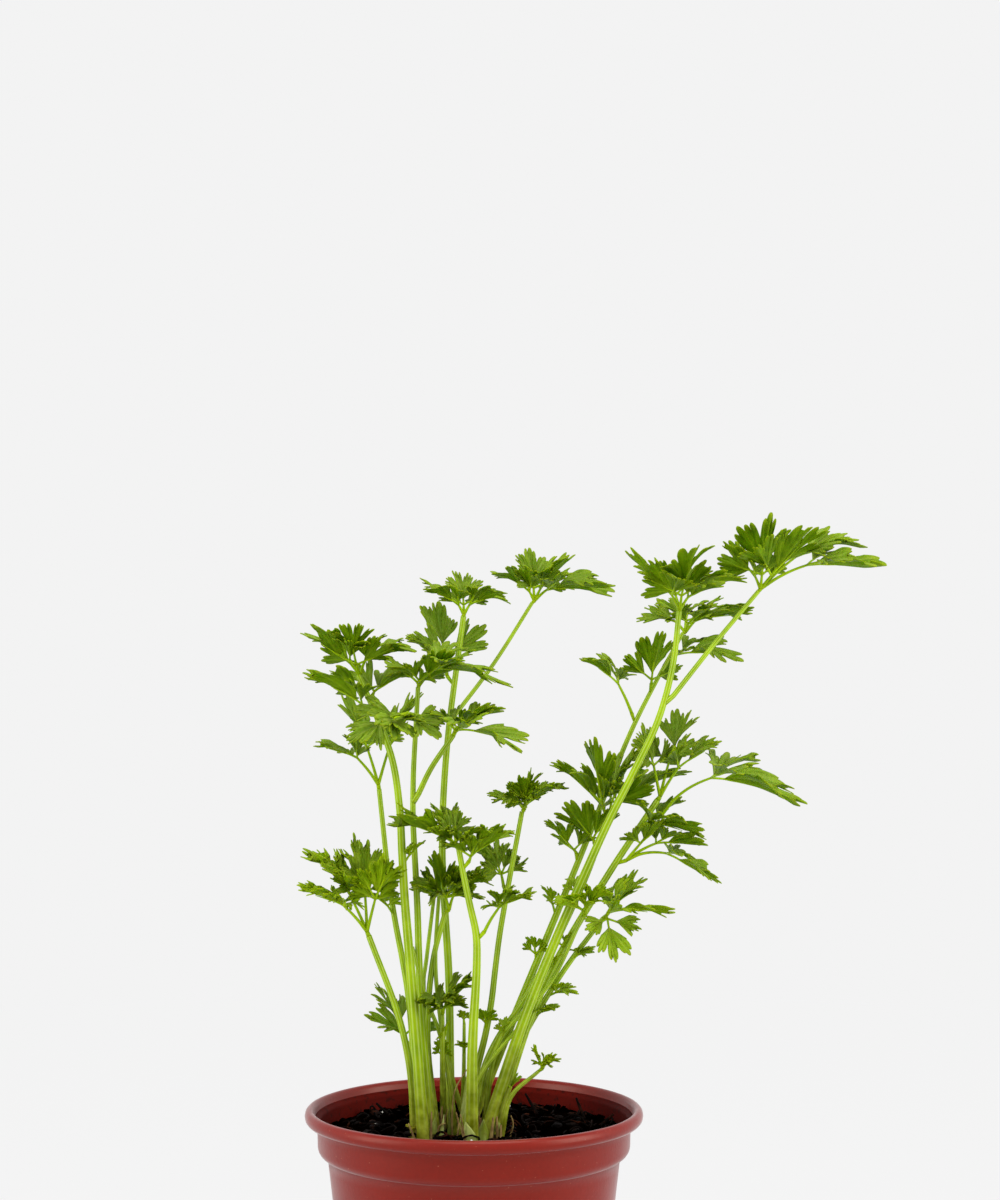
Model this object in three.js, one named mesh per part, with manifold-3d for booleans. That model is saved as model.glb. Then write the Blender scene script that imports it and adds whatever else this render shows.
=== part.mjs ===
// Curly parsley growing in a plastic nursery pot.
//
// Millimetres, +Z up. The origin is the middle of the pot's underside, so the pot stands on z = 0.
// The plant is three seedlings. Each has a root crown in the compost, and each crown carries leaf stalks.
// A stalk ends in a fork, and a blade grows from every fork: one small knot with a leaflet for each tip.

import * as THREE from "three";
import { mergeVertices } from "three/addons/utils/BufferGeometryUtils.js";
import Module from "manifold-3d";

const wasm = await Module();
wasm.setup();

// ---------------------------------------------------------------- driving dimensions

const POT_HEIGHT = 105;
const RIM_RADIUS = 60; // outside of the rolled rim
const RIM_HEIGHT = 5;
const COLLAR_RADIUS = 55.4; // the upright band under the rim
const COLLAR_HEIGHT = 17; // from the top of the rim to the step under the band
const BODY_TOP_RADIUS = 52.2;
const BASE_RADIUS = 42;
const WALL = 1.2;
const BASE_THICKNESS = 1.6;
const POT_SIDES = 40;

const DRAIN_HOLES = 6;
const DRAIN_RADIUS = 4;
const DRAIN_RING_RADIUS = 30;

const GAP = 0.3; // between pieces that touch
const SOIL_LEVEL = POT_HEIGHT - 8;
const SOIL_BUMP = 1.1; // how far the compost's surface rises and falls
const CROWN_TOP = SOIL_LEVEL + 1;
const ROOT_DEPTH = 52;
const STALK_FOOT = CROWN_TOP + 0.8; // the height at which stalks leave their crown

const STALK_SIDES = 6;
const STALK_RINGS = 11;
const KNOT_RADIUS = 1.3; // the swelling that leaflets fork from
const LEAFLET_SIDES = 4;
const LEAFLET_RINGS = 7;
const STEM_RADIUS = 0.65; // the bare foot of a leaflet
const BLADE_HALF_THICKNESS = 0.8;

// ---------------------------------------------------------------- the plant's plan

// Root crowns: [x, y] of the middle, and the radius of the top.
const CROWNS = {
  crown_left: { at: [-17.5, -12], radius: 7.6 },
  crown_back: { at: [-5.5, 1.5], radius: 7.4 },
  crown_right: { at: [4, -13], radius: 8.4 },
};

// A stalk: how thick it is at its foot and its top, and the points it passes through.
const stalk = (foot, top, ...route) => ({ foot, top, route });
const F = STALK_FOOT;
const STALKS = {
  stalk_tall_right: stalk(
    4,
    1.9,
    [4.2, -16.5, F],
    [20, -15, 145],
    [44, -15, 201],
    [67, -14, 250],
    [72, -12, 281],
  ),
  stalk_tall_right_arm: stalk(1.8, 1.5, [69.8, -14.1, 251.5], [84, -10, 269], [100.5, -4, 288]),
  stalk_rear_right: stalk(
    3.2,
    1.3,
    [-1, 2.5, F],
    [20, 0, 151],
    [39, 6, 196],
    [58, 14, 241],
    [75.5, 20, 273],
  ),
  stalk_mid_right: stalk(3, 2.2, [6.8, -12, F], [23.5, -7, 146.5], [45, -4, 184], [65, -2, 214]),
  stalk_inner_right: stalk(
    2.6,
    1.8,
    [-1, -12, F],
    [5.6, -6.5, 125],
    [20, -4.5, 147],
    [39.5, -1, 186],
    [46.5, 0, 205],
  ),
  stalk_low_right: stalk(2.4, 1.7, [8, -7.5, F], [12.5, -3.5, 120], [30.5, -3.5, 152], [45.6, -8, 173]),
  stalk_thin_right: stalk(
    1.9,
    1.3,
    [3.4, -8.2, F],
    [9, -10.5, 130],
    [26.5, -10.5, 150],
    [38, -18.5, 175],
  ),
  stalk_sprout_right: stalk(1.8, 1.2, [9.8, -16.5, F], [13, -17.5, 112], [22.8, -18, 121]),
  stalk_front: stalk(
    4,
    1.9,
    [-0.6, -19, F],
    [-0.4, -22, 129],
    [1, -25, 169],
    [-2, -26.5, 183],
    [-5, -27, 199],
  ),
  stalk_slim_middle: stalk(2.5, 1.7, [-4.5, -1.6, F], [5, -4, 136], [9, -3, 166], [17, -2, 210]),
  stalk_back: stalk(3, 2, [-8.5, 2.5, F], [-9, 4, 149], [-11.5, 8, 195], [-10, 12, 231], [-4, 16, 279]),
  stalk_back_arm: stalk(1.6, 1.3, [-7.4, 14.6, 243], [7, 22, 262], [21, 28, 284]),
  stalk_left_outer: stalk(2.6, 2, [-20.8, -12.4, F], [-22, -14, 119], [-26, -16, 139], [-36.5, -18, 168]),
  stalk_left_thin: stalk(2.6, 1.7, [-20, -7.6, F], [-23, -3, 143], [-29.5, 2, 179], [-34, 5, 217.5]),
  stalk_left_thick: stalk(
    4,
    1.9,
    [-17.6, -17, F],
    [-20, -18, 132],
    [-24, -18.5, 181],
    [-28, -18, 228],
    [-40.5, -10, 258.5],
  ),
  stalk_left_inner: stalk(
    3,
    1.6,
    [-15, -12, F],
    [-18.7, -9, 144],
    [-20, -7.5, 179],
    [-21.5, -8, 214],
    [-19.5, -13, 254.5],
  ),
  stalk_left_inner_arm: stalk(2, 1.7, [-19.4, -8.6, 217], [-15, -13, 226], [-7, -20, 238]),
  stalk_centre: stalk(2.6, 1.8, [-13.4, -7, F], [-16.5, -4.5, 130], [-14.4, -4.5, 158], [-10, -6, 175]),
  stalk_short: stalk(2.2, 1.5, [-10.8, -0.6, F], [-11, -10, 124], [-11, -14, 140]),
  stalk_short_thin: stalk(1.7, 1.1, [-4.2, 5, F], [-3.6, -2.5, 120], [-3.4, -9, 136]),
};

// A blade forks from the end of its stalk, or from the stalk's side at a share `at` of its length.
// A leaflet: its tip, its width, how far it arches above a straight line, and the share of its
// length that is bare stem.
const leaflet = (x, y, z, width, arch = 5, stem = 0.35) => ({ tip: [x, y, z], width, arch, stem });
const BLADES = {
  blade_tall_crown: {
    on: "stalk_tall_right",
    leaflets: [
      leaflet(54, -15, 300, 17, 5),
      leaflet(76, -27, 303, 24, 6),
      leaflet(95, -7, 293, 18, 8),
      leaflet(64, 6, 297, 18, 6),
    ],
  },
  blade_tall_arm: {
    on: "stalk_tall_right_arm",
    leaflets: [
      leaflet(89, -3, 305, 14, 5, 0.45),
      leaflet(102, -13, 314, 20, 4, 0.4),
      leaflet(120, -15, 311, 19, 5, 0.45),
      leaflet(137, 12, 309, 18, 6, 0.5),
      leaflet(145.5, -2, 297, 14, 8, 0.55),
    ],
  },
  blade_rear_left: { on: "stalk_rear_right", at: 0.82, leaflets: [leaflet(39, 15, 264, 20, 10, 0.5)] },
  blade_rear_middle: { on: "stalk_rear_right", at: 0.885, leaflets: [leaflet(66, 8, 275, 15, 3, 0.3)] },
  blade_rear_right: { on: "stalk_rear_right", at: 0.955, leaflets: [leaflet(95, 12, 265, 15, 6, 0.2)] },
  blade_rear_crown: {
    on: "stalk_rear_right",
    leaflets: [
      leaflet(60, 31, 281, 14, 4),
      leaflet(102, 22, 280, 21, 7),
      leaflet(80, 38, 284, 14, 5),
      leaflet(85, 8, 283, 15, 4, 0.4),
    ],
  },
  blade_mid_crown: {
    on: "stalk_mid_right",
    leaflets: [
      leaflet(60, 3, 240, 14, 3, 0.5),
      leaflet(76, 9, 245, 17, 3, 0.5),
      leaflet(88, -3, 235, 16, 8, 0.5),
    ],
  },
  blade_mid_arm: { on: "stalk_mid_right", at: 0.975, leaflets: [leaflet(116, -8, 214, 21, 17, 0.58)] },
  blade_mid_low: { on: "stalk_mid_right", at: 0.93, leaflets: [leaflet(80, -15, 202, 17, 6, 0.15)] },
  blade_inner_crown: {
    on: "stalk_inner_right",
    leaflets: [
      leaflet(28, -3, 227, 19, 10, 0.45),
      leaflet(41, -11, 237, 17, 4, 0.45),
      leaflet(57, 0, 233, 16, 6, 0.45),
      leaflet(75, 12, 224, 14, 9, 0.4),
    ],
  },
  blade_inner_left: { on: "stalk_inner_right", at: 0.94, leaflets: [leaflet(32, -12, 213, 12, 5, 0.2)] },
  blade_rear_low: { on: "stalk_rear_right", at: 0.535, leaflets: [leaflet(27, -4, 206, 17, 4, 0.1)] },
  blade_mid_inner: {
    on: "stalk_mid_right",
    at: 0.82,
    leaflets: [
      leaflet(86, -9, 186, 15, 8, 0.5),
      leaflet(81, 1, 199, 14, 5, 0.5),
      leaflet(66, -13, 207, 12, 1, 0.5),
    ],
  },
  blade_low_crown: {
    on: "stalk_low_right",
    leaflets: [
      leaflet(69, -14, 175, 20, 7, 0.3),
      leaflet(60, -3, 188, 14, 3, 0.4),
      leaflet(49, -18, 159, 13, 3, 0.25),
    ],
  },
  blade_thin_right: {
    on: "stalk_thin_right",
    leaflets: [leaflet(29, -27, 180, 12, 4, 0.3), leaflet(45, -29, 186, 11, 3, 0.35)],
  },
  blade_sprout_right: {
    on: "stalk_sprout_right",
    leaflets: [leaflet(20.5, -21, 129.5, 7, 1, 0.3), leaflet(30, -20, 126, 7, 2, 0.3)],
  },
  blade_front_left: {
    on: "stalk_front",
    leaflets: [leaflet(-28, -32, 210, 20, 6, 0.3), leaflet(-13, -18, 214, 14, 4, 0.4)],
  },
  blade_front_right: { on: "stalk_front", at: 0.965, leaflets: [leaflet(14, -35, 205, 19, 8, 0.3)] },
  blade_front_low: { on: "stalk_front", at: 0.71, leaflets: [leaflet(21, -31, 184, 16, 8, 0.5)] },
  blade_slim_crown: {
    on: "stalk_slim_middle",
    leaflets: [
      leaflet(6, -8, 215, 15, 5, 0.25),
      leaflet(19, -9, 224, 14, 2, 0.3),
      leaflet(33, -2, 218, 14, 9, 0.3),
    ],
  },
  blade_slim_low: { on: "stalk_slim_middle", at: 0.765, leaflets: [leaflet(5, 12, 199, 13, 2, 0.4)] },
  blade_back_crown: {
    on: "stalk_back",
    leaflets: [leaflet(-19, 12, 290, 17, 6), leaflet(12, 13, 286, 15, 8), leaflet(-5, 27, 295, 15, 4)],
  },
  blade_back_upper: {
    on: "stalk_back",
    at: 0.88,
    leaflets: [leaflet(-25, 18, 272, 18, 7, 0.45), leaflet(-15, 26, 284, 16, 3, 0.45)],
  },
  blade_back_arm: {
    on: "stalk_back_arm",
    leaflets: [
      leaflet(7, 24, 296, 16, 6, 0.4),
      leaflet(20, 33, 304, 15, 3, 0.45),
      leaflet(36, 34, 302, 17, 4, 0.45),
      leaflet(50, 25, 288, 15, 8, 0.4),
    ],
  },
  blade_left_outer: {
    on: "stalk_left_outer",
    leaflets: [
      leaflet(-62, -23, 185, 15, 7, 0.5),
      leaflet(-56, -13, 199, 17, 5, 0.5),
      leaflet(-40, -6, 201, 16, 4, 0.55),
      leaflet(-28, -29, 196, 14, 5, 0.5),
    ],
  },
  blade_left_thin: {
    on: "stalk_left_thin",
    leaflets: [
      leaflet(-57, -3, 234, 16, 8, 0.5),
      leaflet(-48, 17, 250, 17, 6, 0.55),
      leaflet(-22, 14, 251, 18, 6, 0.55),
    ],
  },
  blade_left_crown: {
    on: "stalk_left_thick",
    leaflets: [
      leaflet(-59, -14, 273, 20, 6),
      leaflet(-43, -21, 277, 16, 2, 0.4),
      leaflet(-21, -8, 267, 17, 10),
    ],
  },
  blade_left_under: { on: "stalk_left_thick", at: 0.93, leaflets: [leaflet(-59, -22, 260, 15, 4, 0.3)] },
  blade_left_rear: { on: "stalk_left_thick", at: 0.955, leaflets: [leaflet(-24, 4, 260, 14, 4, 0.3)] },
  blade_left_near: {
    on: "stalk_left_thick",
    at: 0.83,
    leaflets: [
      leaflet(-40, -37, 236, 17, 8, 0.25),
      leaflet(-27, -41, 239, 16, 7, 0.3),
      leaflet(-12, -36, 239, 17, 8, 0.25),
    ],
  },
  blade_inner_top: {
    on: "stalk_left_inner",
    leaflets: [
      leaflet(-30, -22, 264, 14, 3, 0.2),
      leaflet(-7, -24, 266, 16, 3, 0.3),
      leaflet(13, -15, 257, 19, 11, 0.35),
    ],
  },
  blade_inner_near: {
    on: "stalk_left_inner_arm",
    leaflets: [
      leaflet(18, -28, 235, 19, 7, 0.15),
      leaflet(-12, -33, 246, 14, 4, 0.2),
      leaflet(9, -9, 247, 17, 6, 0.3),
    ],
  },
  blade_centre_crown: {
    on: "stalk_centre",
    leaflets: [
      leaflet(-15, -28, 183, 14, 8, 0.4),
      leaflet(6, -13, 187, 19, 9, 0.4),
      leaflet(-13, -15, 196, 14, 2, 0.4),
    ],
  },
  blade_left_low: { on: "stalk_left_thin", at: 0.26, leaflets: [leaflet(-34, 6, 148, 18, 5, 0.3)] },
  blade_short_crown: {
    on: "stalk_short",
    leaflets: [leaflet(-13, -28, 146, 13, 5, 0.3), leaflet(1, -12, 153, 16, 6, 0.3)],
  },
};

// ---------------------------------------------------------------- materials

const finish = (color, roughness) => new THREE.MeshStandardMaterial({ color, roughness, metalness: 0 });
const POT_PLASTIC = finish(0x8a3226, 0.4);
const COMPOST = finish(0x1c1410, 0.95);
const ROOT = finish(0xc9b98c, 0.8);
const STALK_GREEN = finish(0x8fb02a, 0.5);
const LEAF_GREEN = finish(0x3f7a14, 0.6);

// ---------------------------------------------------------------- solids

// A closed three.js geometry as a manifold-3d solid.
function solid(geometry) {
  const bare = geometry.clone();
  bare.deleteAttribute("normal");
  bare.deleteAttribute("uv");
  const merged = mergeVertices(bare, 1e-4);
  const mesh = new wasm.Mesh({
    numProp: 3,
    vertProperties: merged.attributes.position.array,
    triVerts: new Uint32Array(merged.index.array),
  });
  return new wasm.Manifold(mesh);
}

// A manifold-3d solid as a three.js geometry.
function geometryOf(body) {
  const mesh = body.getMesh();
  const geometry = new THREE.BufferGeometry();
  geometry.setAttribute("position", new THREE.BufferAttribute(mesh.vertProperties, 3));
  geometry.setIndex(new THREE.BufferAttribute(mesh.triVerts, 1));
  return geometry;
}

// A profile of [radius, z] points, turned about the Z axis.
function turned(profile, sides) {
  const points = profile.map(([r, z]) => new THREE.Vector2(r, z));
  return new THREE.LatheGeometry(points, sides).rotateX(Math.PI / 2);
}

const arc = (cx, cz, radius, from, to, steps) =>
  Array.from({ length: steps + 1 }, (_, i) => {
    const angle = from + ((to - from) * i) / steps;
    return [cx + radius * Math.cos(angle), cz + radius * Math.sin(angle)];
  });

// ---------------------------------------------------------------- pot

const STEP_Z = POT_HEIGHT - COLLAR_HEIGHT;
const LIP_RADIUS = 1.7; // of the rolled rim's edge
const INNER_LIP_RADIUS = RIM_RADIUS - 2 * LIP_RADIUS;
const SHOULDER = COLLAR_RADIUS - BODY_TOP_RADIUS;

// The inside of the pot, from the middle of its floor up to the lip.
function innerWall(gap = 0) {
  return [
    [BASE_RADIUS - WALL - 1 - gap, BASE_THICKNESS + gap],
    [BASE_RADIUS - WALL - gap, BASE_THICKNESS + 1 + gap],
    [BODY_TOP_RADIUS - WALL - gap, STEP_Z],
    [COLLAR_RADIUS - WALL - gap, STEP_Z + SHOULDER],
  ];
}

function pot() {
  const rimCentre = RIM_RADIUS - LIP_RADIUS;
  const profile = [
    [0, 0],
    [BASE_RADIUS - 1.5, 0],
    [BASE_RADIUS, 1.5],
    [BODY_TOP_RADIUS, STEP_Z],
    ...arc(BODY_TOP_RADIUS, STEP_Z + SHOULDER, SHOULDER, -Math.PI / 3, 0, 3),
    [COLLAR_RADIUS, POT_HEIGHT - RIM_HEIGHT],
    [rimCentre, POT_HEIGHT - RIM_HEIGHT],
    ...arc(rimCentre, POT_HEIGHT - RIM_HEIGHT + LIP_RADIUS, LIP_RADIUS, -Math.PI / 4, 0, 1),
    ...arc(rimCentre, POT_HEIGHT - LIP_RADIUS, LIP_RADIUS, 0, Math.PI, 6),
    [INNER_LIP_RADIUS, POT_HEIGHT - RIM_HEIGHT + 1],
    [COLLAR_RADIUS - WALL, POT_HEIGHT - RIM_HEIGHT],
    ...innerWall().reverse(),
    [0, BASE_THICKNESS],
  ];
  let body = solid(turned(profile, POT_SIDES));
  for (let i = 0; i < DRAIN_HOLES; i++) {
    const angle = (2 * Math.PI * (i + 0.5)) / DRAIN_HOLES;
    const drill = new THREE.CylinderGeometry(DRAIN_RADIUS, DRAIN_RADIUS, 6 * BASE_THICKNESS, 16);
    drill.rotateX(Math.PI / 2);
    drill.translate(DRAIN_RING_RADIUS * Math.cos(angle), DRAIN_RING_RADIUS * Math.sin(angle), 0);
    body = body.subtract(solid(drill));
  }
  return geometryOf(body);
}

// ---------------------------------------------------------------- compost and root crowns

// A crown with its taproot, grown by `gap` when it is the hole that the root sits in.
function crown({ at: [x, y], radius }, gap = 0) {
  const neck = CROWN_TOP - 7;
  const profile = [
    [0, CROWN_TOP - ROOT_DEPTH - gap],
    [1.2 + gap, CROWN_TOP - ROOT_DEPTH - gap],
    [3 + gap, CROWN_TOP - 28],
    [0.62 * radius + gap, neck],
    [radius + gap, CROWN_TOP - 2.2],
    [0.93 * radius + gap, CROWN_TOP],
    [0, CROWN_TOP],
  ];
  if (gap) {
    profile.splice(-2, 2, [radius + gap, CROWN_TOP + 9], [0, CROWN_TOP + 9]);
  }
  return turned(profile, 14).translate(x, y, 0);
}

// The compost's surface: a gentle heap, broken into lumps.
function soilHeight(x, y) {
  const lumps = Math.sin(0.31 * x + 1.3) * Math.cos(0.27 * y - 0.6) + 0.6 * Math.sin(0.71 * x - 0.53 * y);
  return SOIL_LEVEL + (SOIL_BUMP * lumps) / 1.6;
}

function soil() {
  const top = innerWall(GAP)[3][0] - 0.2;
  const profile = [
    [0, BASE_THICKNESS + GAP],
    ...innerWall(GAP),
    [top, SOIL_LEVEL - 1.5],
    ...[0.95, 0.85, 0.72, 0.56, 0.38, 0.2].map((share) => [top * share, SOIL_LEVEL]),
    [0, SOIL_LEVEL],
  ];
  const geometry = turned(profile, 32);
  const position = geometry.attributes.position;
  for (let i = 0; i < position.count; i++) {
    if (position.getZ(i) > SOIL_LEVEL - 0.1) {
      position.setZ(i, soilHeight(position.getX(i), position.getY(i)));
    }
  }
  let body = solid(geometry);
  for (const plan of Object.values(CROWNS)) {
    body = body.subtract(solid(crown(plan, GAP)));
  }
  return geometryOf(body);
}

// ---------------------------------------------------------------- stalks and blades

// Lays a cylinder of unit height and radius along a curve. `section` gives, for a share t of the
// length, the half-width, the half-thickness and how far the edges hang below the middle.
function alongCurve(curve, sides, rings, sideAxis, section, point = 0) {
  const geometry = new THREE.CylinderGeometry(1, 1, 1, sides, rings - 1);
  const position = geometry.attributes.position;
  for (let i = 0; i < position.count; i++) {
    const t = position.getY(i) + 0.5;
    const across = position.getX(i);
    const through = position.getZ(i);
    const { width, thickness, hang } = section(t);
    const tangent = curve.getTangentAt(t);
    const side = sideAxis.clone().addScaledVector(tangent, -sideAxis.dot(tangent)).normalize();
    const normal = new THREE.Vector3().crossVectors(side, tangent);
    const at = curve.getPointAt(t);
    at.addScaledVector(side, across * width);
    at.addScaledVector(normal, through * thickness - hang * across * across);
    if (Math.hypot(across, through) < 1e-6) {
      at.addScaledVector(tangent, t < 0.5 ? -point : point);
    }
    position.setXYZ(i, at.x, at.y, at.z);
  }
  return geometry;
}

const stalkCurve = ({ route }) =>
  new THREE.CatmullRomCurve3(route.map((p) => new THREE.Vector3(...p)), false, "centripetal");

const stalkRadius = ({ foot, top }, t) => (foot + (top - foot) * t) / 2;

function stalkGeometry(plan) {
  const section = (t) => ({ width: stalkRadius(plan, t), thickness: stalkRadius(plan, t), hang: 0 });
  return alongCurve(stalkCurve(plan), STALK_SIDES, STALK_RINGS, new THREE.Vector3(0, 1, 0), section);
}

// Where a blade's knot sits: clear of its stalk by the gap, beyond the end or beside it.
function forkPoint({ on, at = 1, leaflets }) {
  const curve = stalkCurve(STALKS[on]);
  const along = curve.getTangentAt(at);
  const point = curve.getPointAt(at);
  if (at === 1) {
    return point.addScaledVector(along, KNOT_RADIUS + GAP);
  }
  const away = new THREE.Vector3(...leaflets[0].tip).sub(point);
  away.addScaledVector(along, -away.dot(along)).normalize();
  return point.addScaledVector(away, stalkRadius(STALKS[on], at) + KNOT_RADIUS + GAP);
}

// How wide a leaflet is at a share t of its length, as a share of its full half-width.
function spread(t, stem) {
  return t <= stem ? 0 : Math.sin((0.82 * Math.PI * (t - stem)) / (1 - stem));
}

function leafletGeometry(from, { tip, width, arch, stem }) {
  const to = new THREE.Vector3(...tip);
  const over = from.clone().lerp(to, 0.45).add(new THREE.Vector3(0, 0, 2 * arch));
  const curve = new THREE.QuadraticBezierCurve3(from, over, to);
  const side = new THREE.Vector3(to.y - from.y, from.x - to.x, 0).normalize();
  const section = (t) => {
    const open = spread(t, stem);
    return {
      width: STEM_RADIUS + (width / 2 - STEM_RADIUS) * open,
      thickness: STEM_RADIUS + (BLADE_HALF_THICKNESS - STEM_RADIUS) * open,
      hang: 0.12 * width * open,
    };
  };
  return alongCurve(curve, LEAFLET_SIDES, LEAFLET_RINGS, side, section, 0.4);
}

function bladeGeometry(plan) {
  const fork = forkPoint(plan);
  let body = solid(new THREE.IcosahedronGeometry(KNOT_RADIUS).translate(fork.x, fork.y, fork.z));
  for (const each of plan.leaflets) {
    body = body.add(solid(leafletGeometry(fork, each)));
  }
  return geometryOf(body);
}

// ---------------------------------------------------------------- the potted plant

const plant = new THREE.Group();

function add(name, geometry, material) {
  const mesh = new THREE.Mesh(geometry, material);
  mesh.name = name;
  plant.add(mesh);
}

add("pot", pot(), POT_PLASTIC);
add("soil", soil(), COMPOST);
for (const [name, plan] of Object.entries(CROWNS)) add(name, crown(plan), ROOT);
for (const [name, plan] of Object.entries(STALKS)) add(name, stalkGeometry(plan), STALK_GREEN);
for (const [name, plan] of Object.entries(BLADES)) add(name, bladeGeometry(plan), LEAF_GREEN);

export default plant;
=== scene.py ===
"""Curly parsley in a plastic nursery pot: the looks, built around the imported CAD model.

The CAD nodes say where everything is. A stalk node is a tube, so its rings of corners give the
stalk's path and thickness. A blade node is a knot with leaflets, and each leaflet's rings, read
from its tip, give the path and width that one frilled fan of leaf is grown on. Metres, +Z up.
"""

import math
import random

import bmesh
import bpy
import numpy as np
from mathutils import Matrix, Vector, noise


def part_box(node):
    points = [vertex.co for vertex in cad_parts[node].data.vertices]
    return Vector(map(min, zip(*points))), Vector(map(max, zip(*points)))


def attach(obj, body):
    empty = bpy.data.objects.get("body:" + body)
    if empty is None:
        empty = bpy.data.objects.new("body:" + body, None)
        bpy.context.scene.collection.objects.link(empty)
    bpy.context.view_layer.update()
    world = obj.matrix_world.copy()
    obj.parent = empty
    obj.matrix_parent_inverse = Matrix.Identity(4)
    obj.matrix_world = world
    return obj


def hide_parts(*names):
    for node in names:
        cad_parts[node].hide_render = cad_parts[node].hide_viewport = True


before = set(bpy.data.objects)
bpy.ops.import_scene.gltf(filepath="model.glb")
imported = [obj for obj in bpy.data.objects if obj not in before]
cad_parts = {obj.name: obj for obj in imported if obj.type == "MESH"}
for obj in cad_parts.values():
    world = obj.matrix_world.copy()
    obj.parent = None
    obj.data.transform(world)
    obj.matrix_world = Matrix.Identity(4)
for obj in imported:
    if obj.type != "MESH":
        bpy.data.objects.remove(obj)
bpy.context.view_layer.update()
noise.seed_set(1)  # unseeded, noise_vector follows the clock

MM = 0.001
UP = Vector((0, 0, 1))
TAU = 2 * math.pi

# ---- camera, light and floor

CAMERA_AT = Vector((9.2, -926, 285)) * MM
CAMERA_TO = Vector((9.2, 0, 285)) * MM
LENS = 78.2
SENSOR = 36
CARD_GLOW = 0.2  # the floor's own light close to the pot
SWEEP_GLOW = 0.852  # and further out
FAR_GLOW = 0.896  # and on the backdrop, which takes no other light, so it is an even pale grey


def put(name, data, at=None, to=None):
    """A new object in the scene. A camera or a light stands at one point and looks to another."""
    obj = bpy.data.objects.new(name, data)
    bpy.context.collection.objects.link(obj)
    if at:
        obj.location = at
        obj.rotation_euler = (to - at).to_track_quat("-Z", "Y").to_euler()
    return obj


def make_camera():
    data = bpy.data.cameras.new("camera")
    data.lens = LENS
    data.sensor_width = SENSOR
    data.clip_start = 0.01
    data.clip_end = 50
    bpy.context.scene.camera = put("camera", data, CAMERA_AT, CAMERA_TO)


def soft_box(name, at, to, width, height, power):
    data = bpy.data.lights.new(name, "AREA")
    data.shape = "RECTANGLE"
    data.size = width
    data.size_y = height
    data.energy = power
    put(name, data, Vector(at), Vector(to))


def make_light():
    plant = (0.03, 0, 0.18)
    soft_box("box_left", (-1.2, -0.45, 0.55), plant, 0.7, 1.2, 9)
    soft_box("box_right", (1.2, -0.35, 0.55), plant, 0.7, 1.2, 10)
    soft_box("box_top", (0.1, -0.3, 1.6), plant, 1.2, 1.0, 13)
    world = bpy.data.worlds.new("studio")
    world.use_nodes = True
    back = world.node_tree.nodes["Background"]
    back.inputs["Color"].default_value = (1, 1, 1, 1)
    back.inputs["Strength"].default_value = 0.5
    bpy.context.scene.world = world
    bpy.context.scene.view_settings.view_transform = "Standard"


def make_floor():
    """A floor that curves up into a backdrop, all round, so no edge shows from any side."""
    far, bend, top = 3.6, 1.5, 4.8
    flat = far - bend
    profile = [(0, 0), (0.9, 0), (flat, 0)]
    for a in np.linspace(0.15, math.pi / 2, 12):
        profile.append((flat + bend * math.sin(a), bend * (1 - math.cos(a))))
    profile.append((far, top))
    shape = Shape()
    shape.turn(profile, 96)
    floor = shape.piece("floor", [floor_material()], body=None)


# ---- meshes


class Shape:
    """Corners, faces, each face's place in the list of materials, and named values at the corners."""

    def __init__(self):
        self.points = []
        self.faces = []
        self.slots = []
        self.values = {}

    def add(self, points, faces, **values):
        first = len(self.points)
        for name in sorted({*self.values, *values}):
            column = self.values.setdefault(name, [0.0] * first)
            column.extend(values.get(name, [0.0] * len(points)))
        self.points.extend(points)
        self.faces.extend(tuple(first + i for i in face) for face in faces)
        self.slots.extend([0] * len(faces))

    def turn(self, profile, sides):
        """A profile of (radius, z) turned about Z. A point on the axis is one corner."""
        points, rings = [], []
        for radius, z in profile:
            if radius < 1e-7:
                rings.append([len(points)] * sides)
                points.append((0, 0, z))
                continue
            rings.append(range(len(points), len(points) + sides))
            points.extend(
                (radius * math.cos(TAU * k / sides), radius * math.sin(TAU * k / sides), z)
                for k in range(sides)
            )
        self.add(points, between(rings, closed=True))

    def tube(self, path, radii, sides, section=None, **values):
        """A tube along a path of points, a radius at each. The middles of its ends are its last corners."""
        side = Vector((0, 1, 0))
        points, rings = [], []
        count = len(path)
        for k, (centre, radius) in enumerate(zip(path, radii)):
            tangent = (path[min(k + 1, count - 1)] - path[max(k - 1, 0)]).normalized()
            side = square_to(side, tangent)
            across = tangent.cross(side)
            rings.append(range(len(points), len(points) + sides))
            for j in range(sides):
                angle = TAU * j / sides
                reach = radius * (section(angle, k) if section else 1)
                points.append(centre + (side * math.cos(angle) + across * math.sin(angle)) * reach)
        faces = between(rings, closed=True)
        for ring, centre, flip in ((rings[0], path[0], True), (rings[-1], path[-1], False)):
            hub = len(points)
            points.append(centre)
            for j in range(sides):
                a, b = ring[j], ring[(j + 1) % sides]
                faces.append((b, a, hub) if flip else (a, b, hub))
        self.add(points, faces, **values)

    def piece(self, name, materials, body="root", slot=None, replaces=()):
        mesh = bpy.data.meshes.new(name)
        mesh.from_pydata([tuple(p) for p in self.points], [], self.faces)
        for value, column in self.values.items():
            mesh.attributes.new(value, "FLOAT", "POINT").data.foreach_set("value", column)
        for material in materials:
            mesh.materials.append(material)
        mesh.polygons.foreach_set("material_index", self.slots)
        mesh.polygons.foreach_set("use_smooth", [True] * len(self.faces))
        mesh.update()
        obj = put(name, mesh)
        if body:
            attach(obj, body)
        if replaces:
            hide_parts(*replaces)
        return obj


def between(rings, closed=False):
    """Faces between rings of corners that have the same number each."""
    faces = []
    for lower, upper in zip(rings, rings[1:]):
        count = len(lower)
        for j in range(count if closed else count - 1):
            k = (j + 1) % count
            corners = (lower[j], lower[k], upper[k], upper[j])
            kept = tuple(dict.fromkeys(corners))
            if len(kept) > 2:
                faces.append(kept)
    return faces


# ---- reading the CAD nodes

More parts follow.
